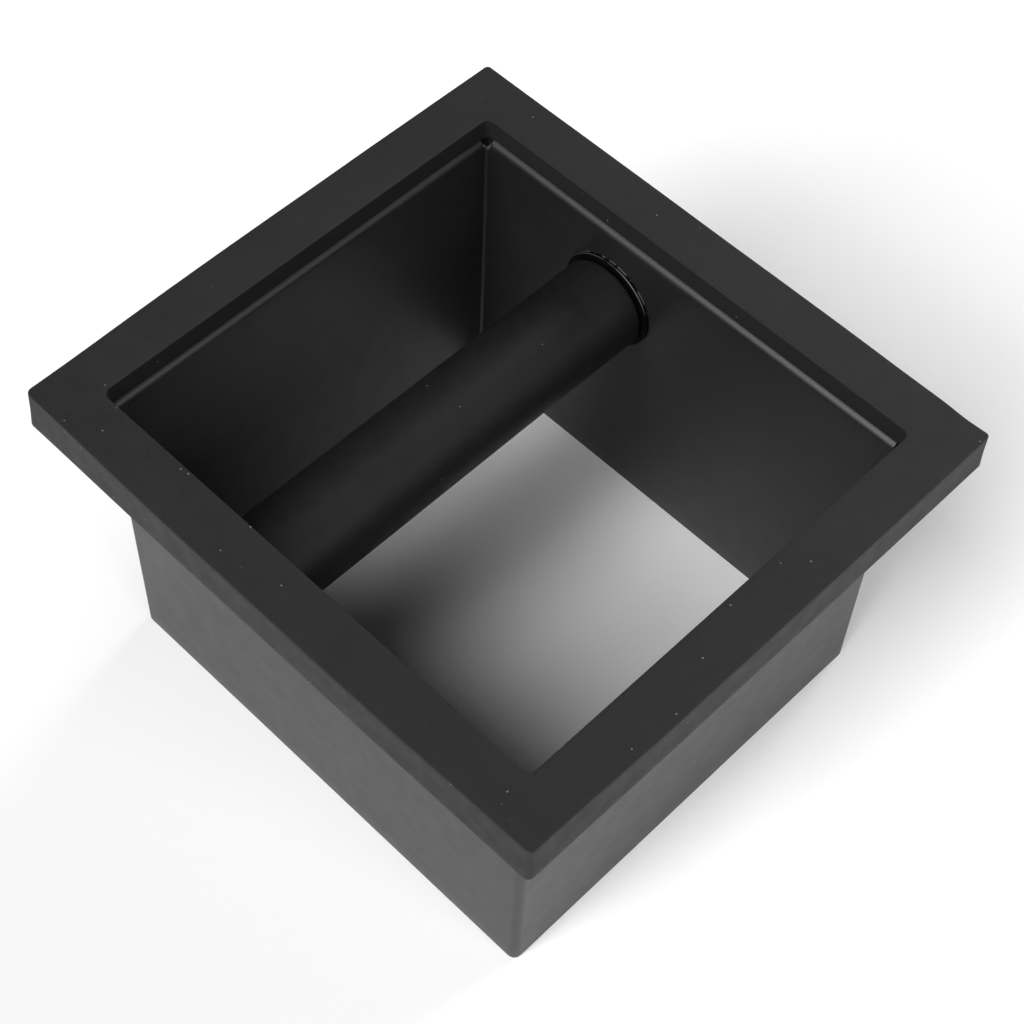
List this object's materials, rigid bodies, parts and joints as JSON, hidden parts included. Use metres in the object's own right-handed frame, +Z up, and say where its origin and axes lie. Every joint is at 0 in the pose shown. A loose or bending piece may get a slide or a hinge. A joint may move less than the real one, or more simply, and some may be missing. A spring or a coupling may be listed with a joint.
{
  "type": "espresso knock box",
  "caption": "Drop-in espresso knock box: open-bottomed black steel chute with a thick rubber rim and a rubber-sleeved knock bar across it.",
  "frame": {"origin": "centre of the bounding box at the chute's bottom edge, on the surface that the box stands on", "axes": "+Z up; +Y away from the user, who stands on the -Y side; the knock bar runs along X, nearer to the user, and right is +X"},
  "size_m": [0.175, 0.189, 0.113],
  "materials": {
    "powder_coat": "fine matt black powder coat on steel sheet",
    "rim_rubber": "matt black moulded rubber",
    "sleeve_rubber": "smooth satin black rubber",
    "bare_steel": "turned steel",
    "black_steel": "black coated steel",
    "plated_steel": "stainless steel"
  },
  "bodies": {
    "box": {"chute_body": "powder_coat", "rim_frame": "rim_rubber", "bar_core": "bare_steel", "end_washer_left": "black_steel", "end_washer_right": "black_steel", "flat_washer_left": "plated_steel", "flat_washer_right": "plated_steel", "lock_washer_left": "plated_steel", "lock_washer_right": "plated_steel", "bar_screw_left": "plated_steel", "bar_screw_right": "plated_steel"},
    "sleeve": {"bar_sleeve": "sleeve_rubber"}
  },
  "joints": [
    {"name": "sleeve_turn", "type": "hinge", "parent": "box", "child": "sleeve", "pos_m": [0, -0.026, 0.079], "axis": [1, 0, 0], "continuous": true}
  ]
}
